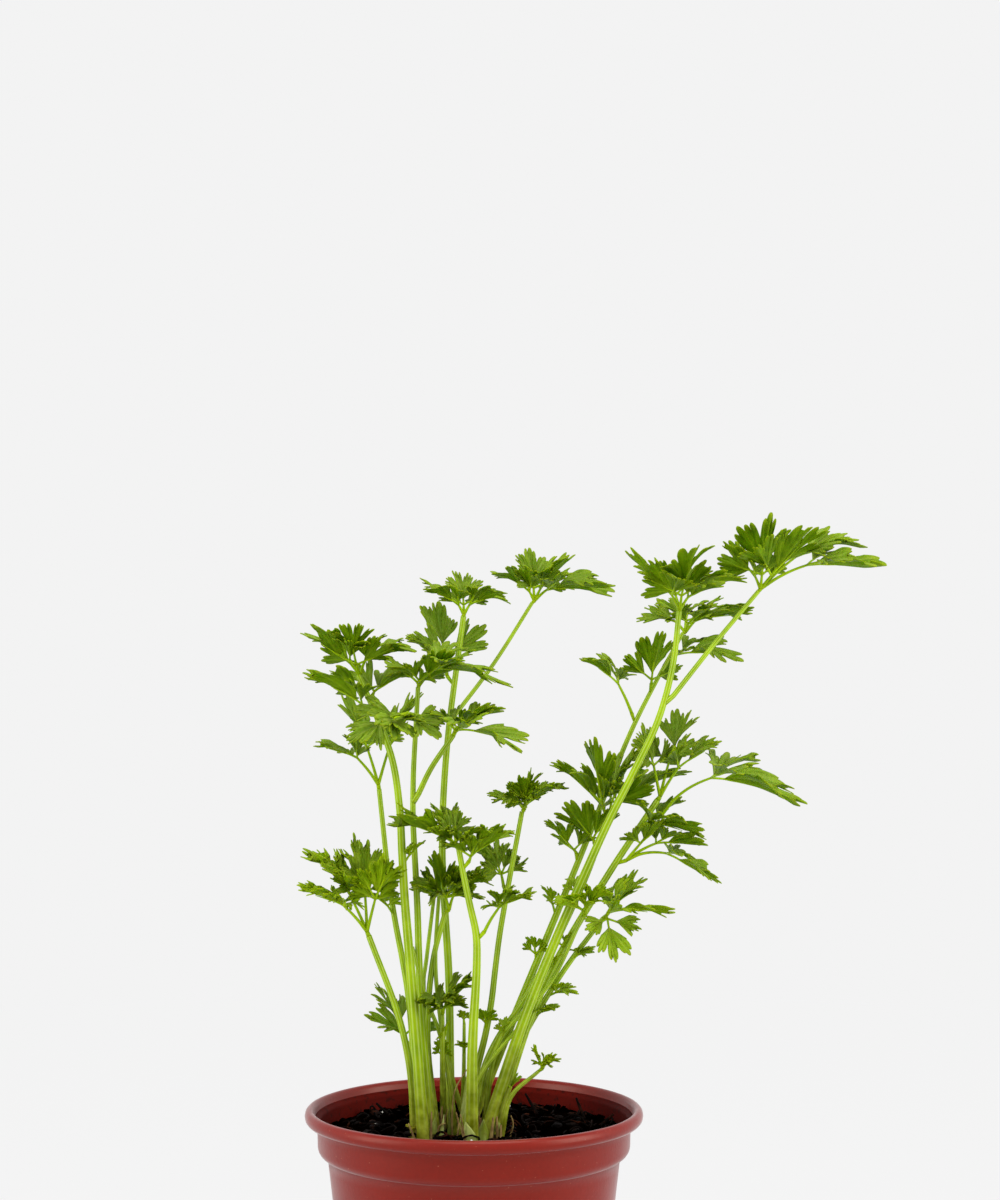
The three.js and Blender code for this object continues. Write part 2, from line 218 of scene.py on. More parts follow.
STALK_SIDES = 6
LEAFLET_SIDES = 4
LEAFLET_RINGS = 7
STEM_RADIUS = 0.65 * MM
WELD = 0.001 * MM  # corners this close are one
HIDDEN_STEM = 0.6  # the share of a leaflet that is leaf, where its foot is hidden among others
END_SHARE = math.sin(0.82 * math.pi)  # how wide a leaflet is at its end, as a share of its full width


def welded(node):
    """A node's corners, and for each corner the ones it shares an edge with."""
    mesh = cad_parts[node].data
    index, points, joined, ids = {}, [], [], []
    for vertex in mesh.vertices:
        key = tuple(round(c / WELD) for c in vertex.co)
        if key not in index:
            index[key] = len(points)
            points.append(vertex.co.copy())
            joined.append(set())
        ids.append(index[key])
    for edge in mesh.edges:
        a, b = (ids[v] for v in edge.vertices)
        if a != b:
            joined[a].add(b)
            joined[b].add(a)
    return points, joined


def rings_from(start, joined):
    """The corners one step from a start, then two steps, and so on."""
    seen = {start}
    ring = {start}
    rings = []
    while True:
        ring = {n for i in ring for n in joined[i]} - seen
        if not ring:
            return rings
        seen |= ring
        rings.append(ring)


def middle(points):
    return sum(points, Vector()) / len(points)


def stalk_guide(node):
    """A stalk's path from its foot to its top, and its radius at each point."""
    points, joined = welded(node)
    for start in sorted(range(len(points)), key=lambda i: points[i].z):
        rings = rings_from(start, joined)
        if {len(ring) for ring in rings[:-1]} == {STALK_SIDES} and len(rings[-1]) == 1:
            break
    path, radii = [], []
    for ring in rings[:-1]:
        corners = [points[i] for i in ring]
        path.append(middle(corners))
        radii.append(sum((c - path[-1]).length for c in corners) / len(corners))
    return path, radii


def widest_pair(corners):
    pairs = [(a, b) for i, a in enumerate(corners) for b in corners[i + 1 :]]
    return max(pairs, key=lambda pair: (pair[0] - pair[1]).length)


def leaflet_rings(node):
    """For each leaflet of a blade: its tip, and the rings behind it that no other leaflet cuts."""
    points, joined = welded(node)
    found = []
    for tip in range(len(points)):
        if len(joined[tip]) != LEAFLET_SIDES:
            continue
        rings = []
        for ring in rings_from(tip, joined)[: LEAFLET_RINGS - 1]:
            if len(ring) != LEAFLET_SIDES:
                break
            rings.append(widest_pair([points[i] for i in sorted(ring)]))
        if len(rings) > 1:
            found.append((points[tip], rings))
    return found


def leaflet_guides(node):
    """A blade's fork, and for each leaflet its path, half-widths, side direction and full half-width."""
    plans = []
    for tip, rings in leaflet_rings(node):
        path = [tip] + [(a + b) / 2 for a, b in rings[1:]]
        widths = [(a - b).length / 2 for a, b in rings]
        plans.append((path, widths, rings))
    most = max(len(path) for path, _, _ in plans)
    starts = []
    for path, _, _ in plans:
        if len(path) == most:
            path = list(path)
            while len(path) < LEAFLET_RINGS:
                path.append(path[-1] * 3 - path[-2] * 3 + path[-3])
            starts.append(path[-1])
    fork = middle(starts)
    guides = []
    for path, widths, rings in plans:
        full = (widths[0] - STEM_RADIUS) / END_SHARE + STEM_RADIUS
        a, b = rings[widths.index(max(widths))]
        side = (a - b).normalized()
        if (path[0] - fork).cross(side).z > 0:
            side = -side
        known = len(path)
        last = LEAFLET_RINGS - 1
        for k in range(known, last):
            path.append(curve_through(path[0], path[known - 1], fork, (known - 1) / last, k / last))
            widths.append(full if k < HIDDEN_STEM * last else STEM_RADIUS)
        guides.append((path[:last][::-1], widths[::-1], side, full))
    return fork, guides


def curve_through(start, inner, end, inner_at, at):
    """A point on the parabola through three points that lie at shares 0, inner_at and 1."""
    return (
        start * ((at - inner_at) * (at - 1) / inner_at)
        + inner * (at * (at - 1) / (inner_at * (inner_at - 1)))
        + end * (at * (at - inner_at) / (1 - inner_at))
    )


def smooth_path(points, step):
    """Points every `step` or so along a smooth curve through the given ones."""
    padded = [points[0] * 2 - points[1], *points, points[-1] * 2 - points[-2]]
    curve = []
    for a, b, c, d in zip(padded, padded[1:], padded[2:], padded[3:]):
        pieces = max(1, round((c - b).length / step))
        for k in range(pieces):
            t = k / pieces
            squared, cubed = 2 * a - 5 * b + 4 * c - d, 3 * b - a - 3 * c + d
            curve.append(0.5 * (2 * b + (c - a) * t + squared * t * t + cubed * t**3))
    curve.append(points[-1].copy())
    return curve


def path_through(places, step=1 * MM):
    """A smooth path through places given in millimetres."""
    return smooth_path([Vector(place) * MM for place in places], step)


def tapered(path, radius, loss):
    """A radius for each point of a path, that loses the given share of itself on the way."""
    return [radius * (1 - loss * k / len(path)) for k in range(len(path))]


def square_to(direction, forward):
    """A direction turned until it is square to another."""
    return (direction - forward * direction.dot(forward)).normalized()


def lerp_list(values, share):
    at = share * (len(values) - 1)
    low = min(int(at), len(values) - 2)
    return values[low] + (values[low + 1] - values[low]) * (at - low)


# ---- materials


def colour(given):
    """Linear light, from a screen colour of 0 to 255, from a grey level, or as it is given."""
    if not isinstance(given, tuple):
        return (given, given, given, 1)
    if len(given) == 4:
        return given
    parts = [c / 255 for c in given]
    return (*[c / 12.92 if c <= 0.04045 else ((c + 0.055) / 1.055) ** 2.4 for c in parts], 1)


class Surface:
    """A node material: a Principled shader, and short calls for the nodes that feed it."""

    def __init__(self, name, roughness, specular=0.5):
        self.material = bpy.data.materials.new(name)
        self.material.use_nodes = True
        self.tree = self.material.node_tree
        self.shader = self.tree.nodes["Principled BSDF"]
        self.set("Roughness", roughness)
        self.set("Specular IOR Level", specular)
        self.place = self.node("ShaderNodeTexCoord").outputs["Object"]

    def set(self, name, value):
        self.shader.inputs[name].default_value = value

    def node(self, kind, **settings):
        made = self.tree.nodes.new(kind)
        for name, value in settings.items():
            setattr(made, name, value)
        return made

    def link(self, source, target):
        self.tree.links.new(source, target)

    def value(self, name):
        return self.node("ShaderNodeAttribute", attribute_name=name).outputs["Fac"]

    def noise(self, scale, detail=4, stretch=None, seed=0):
        """Noise with `scale` features to the metre."""
        made = self.node("ShaderNodeTexNoise")
        made.inputs["Scale"].default_value = scale
        made.inputs["Detail"].default_value = detail
        mapping = self.node("ShaderNodeMapping")
        mapping.inputs["Location"].default_value = (seed, seed * 0.7, seed * 1.3)
        mapping.inputs["Scale"].default_value = stretch or (1, 1, 1)
        self.link(self.place, mapping.inputs["Vector"])
        self.link(mapping.outputs["Vector"], made.inputs["Vector"])
        return made.outputs["Fac"]

    def ramp(self, source, *stops):
        """Maps a value to colours, with stops of (value, colour)."""
        made = self.node("ShaderNodeValToRGB")
        self.link(source, made.inputs["Fac"])
        elements = made.color_ramp.elements
        while len(elements) < len(stops):
            elements.new(0.5)
        for element, (at, given) in zip(elements, stops):
            element.position = at
            element.color = colour(given)
        return made.outputs["Color"]

    def patches(self, scale, detail, *stops, stretch=None, seed=0):
        """Noise through a ramp."""
        return self.ramp(self.noise(scale, detail, stretch, seed), *stops)

    def mix(self, share, a, b):
        """From a to b, each a colour or a node's output, by a share that a node gives."""
        made = self.node("ShaderNodeMix", data_type="RGBA")
        sockets = (made.inputs["Factor"], made.inputs[6], made.inputs[7])
        for socket, given in zip(sockets, (share, a, b)):
            if isinstance(given, (float, tuple)):
                socket.default_value = colour(given)
            else:
                self.link(given, socket)
        return made.outputs[2]

    def part(self, name, share):
        """A named value, times a number or another value."""
        made = self.node("ShaderNodeMath", operation="MULTIPLY", use_clamp=True)
        self.link(self.value(name), made.inputs[0])
        if isinstance(share, float):
            made.inputs[1].default_value = share
        else:
            self.link(share, made.inputs[1])
        return made.outputs[0]

    def bump(self, height, depth, strength=1.0):
        made = self.node("ShaderNodeBump")
        made.inputs["Distance"].default_value = depth
        made.inputs["Strength"].default_value = strength
        self.link(height, made.inputs["Height"])
        self.link(made.outputs["Normal"], self.shader.inputs["Normal"])

    def finish(self, base, roughness=None):
        self.link(base, self.shader.inputs["Base Color"])
        if roughness is not None:
            self.link(roughness, self.shader.inputs["Roughness"])
        return self.material

    def glow_through(self, weight, scale, radius=(0.5, 1.0, 0.15)):
        """Light that enters the leaf or stalk and comes out nearby."""
        self.set("Subsurface Weight", weight)
        self.set("Subsurface Scale", scale)
        self.set("Subsurface Radius", radius)


def floor_material():
    """A sweep lit from within. Round the pot it is plain card, so that the pot's shade shows on it."""
    s = Surface("studio_sweep", 0.9, 0.0)
    away = s.node("ShaderNodeVectorMath", operation="LENGTH")
    s.link(s.place, away.inputs[0])
    out = s.ramp(away.outputs["Value"], (0.13, 0.0), (0.3, 1.0))
    far = s.ramp(away.outputs["Value"], (0.4, 0.0), (0.95, 1.0))
    glow = s.mix(far, s.mix(out, CARD_GLOW, SWEEP_GLOW), FAR_GLOW)
    s.set("Emission Color", (1, 1, 1, 1))
    s.link(glow, s.shader.inputs["Emission Strength"])
    card = s.patches(6, 2, (0.3, 0.52), (0.7, 0.54))
    return s.finish(s.mix(far, s.mix(out, card, 0.04), 0.0))


LEAF_TIP = (134, 146, 2)


def leaf_material(name, dark, light, vein, roughness):
    """A leaf's face: patches of lighter and darker green, pale veins, yellower tips of the teeth."""
    s = Surface(name, roughness, 0.06)
    patches = s.patches(180, 3, (0.32, dark), (0.68, light))
    mottled = s.mix(s.patches(900, 3, (0.4, 0.0), (0.75, 0.25), seed=5), patches, vein)
    veined = s.mix(s.part("vein", 0.55), mottled, vein)
    deep = (*[c * 0.4 for c in colour(dark)[:3]], 1)
    shaded = s.mix(s.part("shade", 0.6), veined, deep)
    tipped = s.mix(s.part("tip", 0.75), shaded, LEAF_TIP)
    s.bump(s.mix(s.value("vein"), s.noise(1500, 3, seed=2), 0.0), 0.00012, 0.5)
    s.glow_through(0.25, 0.0012)
    shine = s.patches(700, 2, (0.3, roughness - 0.08), (0.7, roughness + 0.12), seed=9)
    return s.finish(tipped, shine)


# Each face of a leaf in its darker green, its lighter green and the green of its veins.
GROWN_LEAF = {
    "leaf_upper": ((70, 100, 0), (108, 140, 0), (138, 166, 18)),
    "leaf_under": ((98, 126, 8), (124, 150, 26), (158, 180, 80)),
    "leaf_edge": ((100, 124, 2), (122, 144, 4), (140, 160, 20)),
}
# A lighter copy of the same greens, for the sprigs and a few blades; on the sprigs, which sit in shade
# among the stalks, it is painted light.
LIGHTER_LEAF = {
    "lighter_upper": ((104, 136, 0), (142, 176, 0), (164, 192, 24)),
    "lighter_under": ((122, 152, 8), (150, 178, 20), (178, 198, 80)),
    "lighter_edge": ((124, 150, 2), (146, 170, 4), (160, 184, 20)),
}
FACE_ROUGHNESS = (0.45, 0.6, 0.5)


def leaf_faces(greens):
    """The upper face, the underside and the edge of a leaf."""
    return [
        leaf_material(name, *three, roughness)
        for (name, three), roughness in zip(greens.items(), FACE_ROUGHNESS)
    ]


def stalk_material():
    """A stalk: yellow-green, paler and browner at the foot, with fine pale lines along its ribs, partly
    their own paler green and partly a painted highlight.
    """
    s = Surface("stalk_skin", 0.38, 0.1)
    green = s.patches(90, 3, (0.3, (122, 152, 0)), (0.7, (166, 196, 4)))
    # pale lines on the ribs: partly the ribs' own paler green, partly a painted highlight
    rib_highlight = s.ramp(s.value("rib"), (0.35, 0.0), (0.9, 0.75))
    ribbed = s.mix(rib_highlight, green, (186, 208, 100))
    foot = s.patches(260, 4, (0.35, (92, 92, 2)), (0.65, (158, 164, 52)), seed=3)
    aged = s.mix(s.value("foot"), ribbed, foot)
    blotch = s.patches(420, 4, (0.5, 0.0), (0.7, 0.45), seed=7)
    stained = s.mix(s.part("foot", blotch), aged, (84, 70, 14))
    s.bump(s.noise(1400, 3, stretch=(1, 1, 0.12), seed=4), 0.00005, 0.6)
    s.glow_through(0.2, 0.002)
    return s.finish(stained, s.patches(500, 2, (0.3, 0.3), (0.7, 0.5)))


def crown_material():
    """The root crown: olive where it shows, and mostly dark with the compost that clings to it."""
    s = Surface("crown_skin", 0.7, 0.04)
    pale = s.patches(300, 4, (0.3, (70, 64, 2)), (0.7, (138, 138, 46)))
    stain = s.patches(520, 5, (0.32, 0.0), (0.5, 0.95), seed=3)
    s.bump(s.noise(1500, 4, stretch=(1, 1, 0.2)), 0.0003, 0.7)
    return s.finish(s.mix(stain, pale, (26, 13, 6)))


def sheath_material():
    """The papery sheaths at the stalks' feet: pale green, lined, browned in patches."""
    s = Surface("sheath_skin", 0.5, 0.12)
    pale = s.patches(240, 4, (0.3, (126, 142, 30)), (0.7, (190, 200, 118)), stretch=(1, 1, 0.3))
    stain = s.patches(430, 5, (0.54, 0.0), (0.7, 0.4), seed=3)
    s.bump(s.noise(1600, 4, stretch=(1, 1, 0.15)), 0.0002, 0.6)
    s.glow_through(0.2, 0.001, (1.0, 0.9, 0.4))
    return s.finish(s.mix(stain, pale, (104, 80, 24)))


def dead_material():
    """Dead stems and fallen leaf: dry brown and straw."""
    s = Surface("dead_stem", 0.75, 0.25)
    s.bump(s.noise(1800, 4, stretch=(1, 1, 0.2)), 0.0003, 0.8)
    return s.finish(s.patches(350, 4, (0.3, (92, 66, 36)), (0.55, (148, 122, 70)), (0.75, (176, 160, 92))))


def yellowed_material():
    """A fallen leaf that has turned yellow and begun to brown."""
    s = Surface("leaf_yellowed", 0.6, 0.06)
    patches = s.patches(260, 4, (0.35, (146, 140, 10)), (0.6, (178, 176, 60)))
    browned = s.patches(500, 4, (0.5, 0.0), (0.7, 0.7), seed=4)
    s.bump(s.noise(1500, 3), 0.0001, 0.5)
    return s.finish(s.mix(browned, patches, (110, 82, 26)))


def compost_material():
    """Damp peat: almost black, with brown flecks and a few moister, smoother places."""
    s = Surface("compost_peat", 0.95, 0.0)
    dark = s.patches(420, 6, (0.3, (0, 0, 0)), (0.55, (3, 1, 0)), (0.8, (18, 7, 4)))
    flecks = s.patches(1900, 3, (0.66, 0.0), (0.76, 0.35), seed=6)
    s.bump(s.noise(900, 8, seed=1), 0.0016, 1.0)
    damp = s.patches(300, 3, (0.3, 0.7), (0.7, 0.95), seed=8)
    return s.finish(s.mix(flecks, dark, (64, 26, 13)), damp)


def bark_material():
    """Bark chips and fibres: black to red-brown, with a grain."""
    s = Surface("bark_bits", 0.8, 0.05)
    s.bump(s.noise(1600, 5, stretch=(1, 1, 0.3)), 0.0004, 0.8)
    return s.finish(s.patches(160, 5, (0.3, (0, 0, 0)), (0.56, (14, 5, 2)), (0.78, (88, 42, 24))))


def perlite_material():
    """Perlite grains: chalky, off-white and pitted."""
    s = Surface("perlite", 0.85, 0.3)
    s.bump(s.noise(2600, 4), 0.0004, 0.8)
    return s.finish(s.patches(900, 4, (0.35, (196, 190, 180)), (0.7, (240, 238, 232))))


def pot_material():
    """Moulded plastic: a warm brick red with faint flow marks, fine scuffs and a film of dust.

    The dust shows as a pale sheen where the surface turns away.
    """
    s = Surface("pot_moulding", 0.3, 0.38)
    body = s.patches(22, 3, (0.3, (116, 8, 0)), (0.7, (126, 14, 2)), stretch=(1, 1, 0.35))
    grain = s.mix(s.patches(700, 4, (0.4, 0.0), (0.8, 0.3), seed=2), body, (98, 2, 0))
    specks = s.patches(1300, 2, (0.735, 0.0), (0.765, 0.55), seed=12)
    s.bump(s.noise(900, 4, seed=3), 0.00012, 0.35)
    s.set("Specular Tint", (1.0, 0.76, 0.62, 1.0))
    s.set("Sheen Weight", 0.55)
    s.set("Sheen Roughness", 0.25)
    rough = s.patches(60, 5, (0.3, 0.29), (0.7, 0.4), stretch=(1, 1, 0.4), seed=4)
    return s.finish(s.mix(specks, grain, (206, 132, 104)), rough)


def pot_inside_shade_material():
    """The pot's inner wall, dulled, with its plastic painted a darker red than outside as painted shade
    inside the pot, and darker splashes of damp compost.
    """
    s = Surface("pot_inside_shade", 0.6, 0.04)
    # painted shade: the inner wall's red is darker than the outside's, for the shade inside the pot; the
    # splashes are compost stains
    body = s.patches(30, 4, (0.3, (66, 4, 0)), (0.7, (92, 12, 2)), stretch=(1, 1, 0.5))
    splash = s.patches(420, 5, (0.55, 0.0), (0.68, 0.75), seed=5)
    s.bump(s.noise(900, 4, seed=3), 0.00015, 0.4)
    return s.finish(s.mix(splash, body, (40, 10, 4)))


# ---- leaf fans

TOOTH_STEPS = 8  # across a tooth
FAN_ROWS = 10  # from a fan's foot to its edge
LEAF_THICKNESS = 0.28 * MM
STEM_SIDES = 8

# A leaf's habit: how much its edge waves, the lobes of its middle fan, the teeth on a lobe, and for
# the fans beside the middle one how far they turn and their size. Shade is how dark a fan may be.
FLAT = {
    "frill": 0.9, "lobes": (3, 4), "teeth": (3, 3, 4),
    "turns": (-1.15, 1.15), "scale": (0.68, 0.9), "shade": (0.0, 0.45),
}
CURLY = {
    "frill": 1.6, "lobes": (3, 4, 4), "teeth": (4, 5),
    "turns": (-1.5, -0.75, 0.75, 1.5), "scale": (0.6, 0.85), "shade": (0.0, 0.5),
}
DARK = {**CURLY, "shade": (0.85, 1.0)}


class Fan:
    """A wedge of lobes cut into blunt teeth, as columns of corners from its foot to its edge.

    A column is its angle, its reach, its lobe, its places across the lobe and across the tooth, both
    from -1 to 1, and the tooth's curl.
    """

    def __init__(self, rng, lobes, spread, habit):
        self.rng = rng
        self.frill = habit["frill"]
        self.teeth = habit["teeth"]
        self.shade = rng.uniform(*habit["shade"])
        self.half_angle = spread
        shares = [rng.uniform(0.8, 1.25) for _ in range(lobes)]
        start = -spread
        self.columns = []
        for k, share in enumerate(shares):
            wide = 2 * spread * share / sum(shares)
            self.add_lobe(start, wide, abs(2 * (k + 0.5) / lobes - 1))
            start += wide

    def add_lobe(self, start, wide, off_centre):
        """A lobe's columns: the slit beside it, and then its teeth from one side to the other."""
        rng = self.rng
        slit = min(rng.uniform(0.02, 0.07), 0.16 * wide)
        lobe = {
            "middle": start + wide / 2,
            "pitch": rng.uniform(-1, 1),
            "fold": rng.uniform(0.2, 0.8),
        }
        length = (1 - 0.2 * off_centre**1.5) * rng.uniform(0.92, 1.06)
        notch = rng.uniform(0.45, 0.68) * length
        teeth = rng.choice(self.teeth)
        self.columns.append((start, notch, lobe, -1.0, 0.0, 0.0))
        for tooth in range(teeth):
            depth = rng.uniform(0.09, 0.17)
            curl = rng.uniform(-1, 1)
            long = rng.uniform(0.95, 1.04)
            for step in range(TOOTH_STEPS + 1):
                place = 2 * step / TOOTH_STEPS - 1
                across = (2 * tooth + 1 + place) / teeth - 1
                reach = long * (1 - 0.2 * across**2) * (1 - depth * abs(place) ** 2.4)
                angle = lobe["middle"] + across * (wide / 2 - slit)
                self.columns.append((angle, length * reach, lobe, across, place, curl))
        self.columns.append((start + wide, notch, lobe, 1.0, 0.0, 0.0))


def vein_at(angle, reach, lobe, place):
    """1 on a vein, falling to 0 a little beside it."""
    main = math.exp(-(((angle - lobe["middle"]) * reach / 0.03) ** 2))
    to_tooth = math.exp(-((place / 0.22) ** 2)) * min(1, max(0, reach - 0.3) / 0.2)
    return max(main, 0.75 * to_tooth)


def fan_points(fan, foot, path, side, half_width, droop):
    """The fan's corners, column by column, with their vein and tip values, folded up like a funnel."""
    rng = fan.rng
    chord = path[-1] - foot
    length = chord.length
    forward = chord.normalized()
    side = square_to(side, forward)
    up = side.cross(forward).normalized()
    stretch = half_width / (length * math.sin(min(fan.half_angle, math.pi / 2)) * 0.86)
    stretch = min(max(stretch, 0.8), 1.2)
    wave = rng.uniform(0, TAU)
    fold = rng.uniform(0.45, 1.0)
    twist = rng.uniform(-0.12, 0.12)

    points, veins, tips = [], [], []
    for angle, edge, lobe, across, place, curl in fan.columns:
        for j in range(1, FAN_ROWS + 1):
            share = (j / FAN_ROWS) ** 0.8
            reach = share * edge
            arch = lerp_list(path, min(reach, 1.0)) - foot
            along = arch.dot(forward) + length * max(0, reach - 1)
            ahead = along * math.cos(angle)
            aside = along * math.sin(angle) * stretch
            steep = fold * (1 - 0.75 * min(reach, 1))
            outer = abs(math.sin(angle))
            lift = arch.dot(up) + abs(aside) * math.sin(steep)
            lift += length * (
                0.13 * fan.frill * lobe["pitch"] * reach**2
                + 0.10 * lobe["fold"] * (abs(across) - 0.45) * reach
                + 0.035 * fan.frill * math.sin(wave + 10 * angle) * reach**1.5
                + 0.07 * fan.frill * curl * max(0, share - 0.7) / 0.3
                - droop * outer * reach**3
                + twist * math.sin(angle) * reach
            )
            vein = vein_at(angle, reach, lobe, place)
            lift -= 0.12 * MM * vein
            points.append(foot + forward * ahead + side * aside * math.cos(steep) + up * lift)
            veins.append(vein * (1 - 0.5 * share))
            tips.append(max(0, share - 0.86) / 0.14 * (1 - abs(place)) if edge > 0.6 else 0.0)
    return points, veins, tips


def add_fan(shape, fan, foot, path, side, half_width, droop):
    points, veins, tips = fan_points(fan, foot, path, side, half_width, droop)
    hub, count = len(points), len(fan.columns)
    columns = [[hub, *range(i * FAN_ROWS, (i + 1) * FAN_ROWS)] for i in range(count)]
    points.append(foot.copy())
    veins.append(1.0)
    tips.append(0.0)
    shape.add(points, between(columns), vein=veins, tip=tips, shade=[fan.shade] * len(points))


def thicken(obj):
    """Gives a sheet its two faces and its edge, each with its own material."""
    solid = obj.modifiers.new("thickness", "SOLIDIFY")
    solid.thickness = LEAF_THICKNESS
    solid.offset = 0
    solid.material_offset = 1
    solid.material_offset_rim = 2
    apply_modifiers(obj)


def apply_modifiers(obj):
    shaped = obj.evaluated_get(bpy.context.evaluated_depsgraph_get())
    obj.data = bpy.data.meshes.new_from_object(shaped)
    obj.modifiers.clear()


# The blades with a curly habit, by how their names go on after "blade_".
CURLY_BLADES = ("left_outer", "slim", "centre", "short", "front", "sprout")
DARK_BLADE = "blade_short_crown"
# blades that take the lighter copy of the leaf greens
LIGHTER_BLADES = ("blade_low_crown", "blade_sprout_right", "blade_thin_right", "blade_left_outer")
STEM_END = 1.25 * STEM_RADIUS  # a leaflet that is thicker than this is leaf, and no longer stem


def leaflet_foot(widths):
    """The share of a leaflet's guide at which its stem opens into the leaf."""
    for k in range(1, len(widths)):
        if widths[k] > STEM_END:
            step = (STEM_END - widths[k - 1]) / (widths[k] - widths[k - 1])
            return (k - 1 + max(0, min(1, step))) / (len(widths) - 1)
    return 0.3


def turned_path(path, axis, angle, scale):
    """A path turned about an axis through its first point, and scaled from there."""
    spin = Matrix.Rotation(angle, 3, axis)
    return [path[0] + spin @ (p - path[0]) * scale for p in path]


def straighter(path, up, share):
    """A path with a share of its arch taken out."""
    first, last = path[0], path[-1]
    count = len(path) - 1
    return [p - up * share * (p - first.lerp(last, k / count)).dot(up) for k, p in enumerate(path)]


def add_stem(shape, path, thick, thin):
    """A leaflet's stem or midrib: a tube that tapers along its path."""
    count = len(path) - 1
    shape.tube(path, [thick + (thin - thick) * k / count for k in range(count + 1)], STEM_SIDES)


def add_leaflet(leaves, stems, rng, path, side, half_width, habit):
    """Fans from one foot, each on its own short stem: one along the path, and the others beside it."""
    foot = path[0]
    forward = (path[-1] - foot).normalized()
    length = (path[-1] - foot).length
    side = square_to(side, forward)
    up = side.cross(forward).normalized()
    roll = rng.uniform(-0.35, 0.35)
    side = side * math.cos(roll) + up * math.sin(roll)
    plans = [(0, 0, 1.05, rng.choice(habit["lobes"]), rng.uniform(0.8, 1.0))]
    for turn in habit["turns"]:
        turn *= rng.uniform(0.85, 1.15)
        rise, scale = rng.uniform(0.1, 0.6), rng.uniform(*habit["scale"])
        plans.append((turn, rise, scale, 3, rng.uniform(0.68, 0.88)))
    for turn, rise, scale, lobes, spread in plans:
        central = turn == 0
        across = Matrix.Rotation(turn, 3, up) @ side
        bent = turned_path(straighter(path, up, 0.65 if central else 0.85), up, turn, scale)
        bent = turned_path(bent, across, rise, 1)
        bare = max(1, round(rng.uniform(0.1, 0.26) * len(bent)))
        add_stem(stems, bent[: bare + 1], 0.42 * MM, 0.36 * MM)
        blade = bent[bare:]
        fan = Fan(rng, lobes, spread, habit)
        droop = rng.uniform(0.0, 0.12 if central else 0.05)
        add_fan(leaves, fan, blade[0], blade, across, half_width * 1.2 * scale, droop)
        ribbed = blade[: max(3, len(blade) // 2)]
        rib = [p - UP * 0.2 * MM * min(1, k / 3) for k, p in enumerate(ribbed)]
        add_stem(stems, rib, 0.38 * MM, 0.1 * MM)


def make_blade(node, materials):
    """A blade's leaflets and their stems, grown along the CAD node's leaflets from its fork."""
    rng = random.Random(node)
    habit = CURLY if node.removeprefix("blade_").startswith(CURLY_BLADES) else FLAT
    if node == DARK_BLADE:
        habit = DARK
    leaves, stems = Shape(), Shape()
    fork, guides = leaflet_guides(node)
    root, thick = stalk_below(fork)
    add_stem(stems, [root, root.lerp(fork, 0.5), fork], thick * 0.8, 0.75 * MM)
    for path, widths, side, full in guides:
        ahead = (path[-1] - fork).normalized()
        up = square_to(side, ahead).cross(ahead)
        fine = smooth_path(straighter([fork, *path], up, 0.3), 0.8 * MM)
        split = round(leaflet_foot(widths) * (len(fine) - 1))
        split = max(2, min(split, len(fine) - 5))
        add_stem(stems, fine[: split + 1], 0.62 * MM, 0.42 * MM)
        add_leaflet(leaves, stems, rng, fine[split:], side, full, habit)
    leaf = leaves.piece(node.replace("blade", "leaf"), materials, slot="leaf", replaces=[node])
    thicken(leaf)
    stems.piece(node.replace("blade", "leafstem"), [STALK_SKIN], slot="stalk")


# ---- stalks

RIBS = 7
STALK_FACES = 21
STALK_SKIN = stalk_material()
STALK_STEP = 2.5 * MM
SOIL_LOW, SOIL_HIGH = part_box("soil")
SOIL_TOP = SOIL_HIGH.z
ROOTED_BELOW = SOIL_TOP + 5 * MM  # a stalk whose foot is lower than this grows from the compost
STALKS = {node: stalk_guide(node) for node in sorted(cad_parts) if node.startswith("stalk")}


def stalk_section(angle, _):
    """Ribs round a stalk, and the groove down one side."""
    groove = 0.14 * math.exp(-((math.remainder(angle - 1.2, TAU) / 0.45) ** 2))
    return 1 + 0.05 * math.cos(RIBS * angle) - groove


def stalk_below(point, but=None, drop=3):
    """Where a branch that ends at a point leaves its stalk, `drop` mm lower down, and how thick."""
    nearest = math.inf
    for node, (path, radii) in STALKS.items():
        if node == but:
            continue
        places = smooth_path(path, 1 * MM)
        for k, place in enumerate(places):
            away = (place - point).length
            if away < nearest:
                nearest, fine, at, thick = away, places, k, radii
    at_top = at > len(fine) - 4
    at = at if at_top else max(0, at - drop)
    return fine[at], lerp_list(thick, at / (len(fine) - 1)) * (1.1 if at_top else 0.6)


def make_stalk(node):
    """A stalk along its CAD node, with a foot that reaches into the compost or into its own stalk."""
    path, radii = STALKS[node]
    fine = smooth_path(path, STALK_STEP)
    thick = [lerp_list(radii, k / (len(fine) - 1)) for k in range(len(fine))]
    if path[0].z < ROOTED_BELOW:
        down = ((path[0] - path[1]).normalized() * 0.6 - UP * 0.4).normalized()
        fine = [path[0] + down * depth * MM for depth in (7, 5, 2.5)] + fine
        thick = [thick[0]] * 3 + thick
    else:
        root, _ = stalk_below(path[0], but=node)
        fine = [root, root.lerp(path[0], 0.5)] + fine
        thick = [thick[0] * 1.1] * 2 + thick
    shape = Shape()
    add_stalk(shape, fine, thick, random.Random(node).uniform(24, 56) * MM)
    shape.piece(node + "_skin", [STALK_SKIN], slot="stalk", replaces=[node])


def add_stalk(shape, path, radii, fade):
    """A ribbed stalk whose foot is browner and a little thicker up to a height of `fade`."""
    shares = [max(0.0, 1 - (point.z - SOIL_TOP) / fade) ** 1.3 for point in path]
    thick = [radius * (1 + 0.15 * share) for radius, share in zip(radii, shares)]
    # the rib values place the pale rib lines, which are partly a painted highlight
    ribs = [0.5 + 0.5 * math.cos(RIBS * TAU * j / STALK_FACES) for j in range(STALK_FACES)]
    rib = ribs * len(path) + [0.0, 0.0]
    foot = [share for share in shares for _ in range(STALK_FACES)] + [shares[0], shares[-1]]
    shape.tube(path, thick, STALK_FACES, stalk_section, rib=rib, foot=foot)


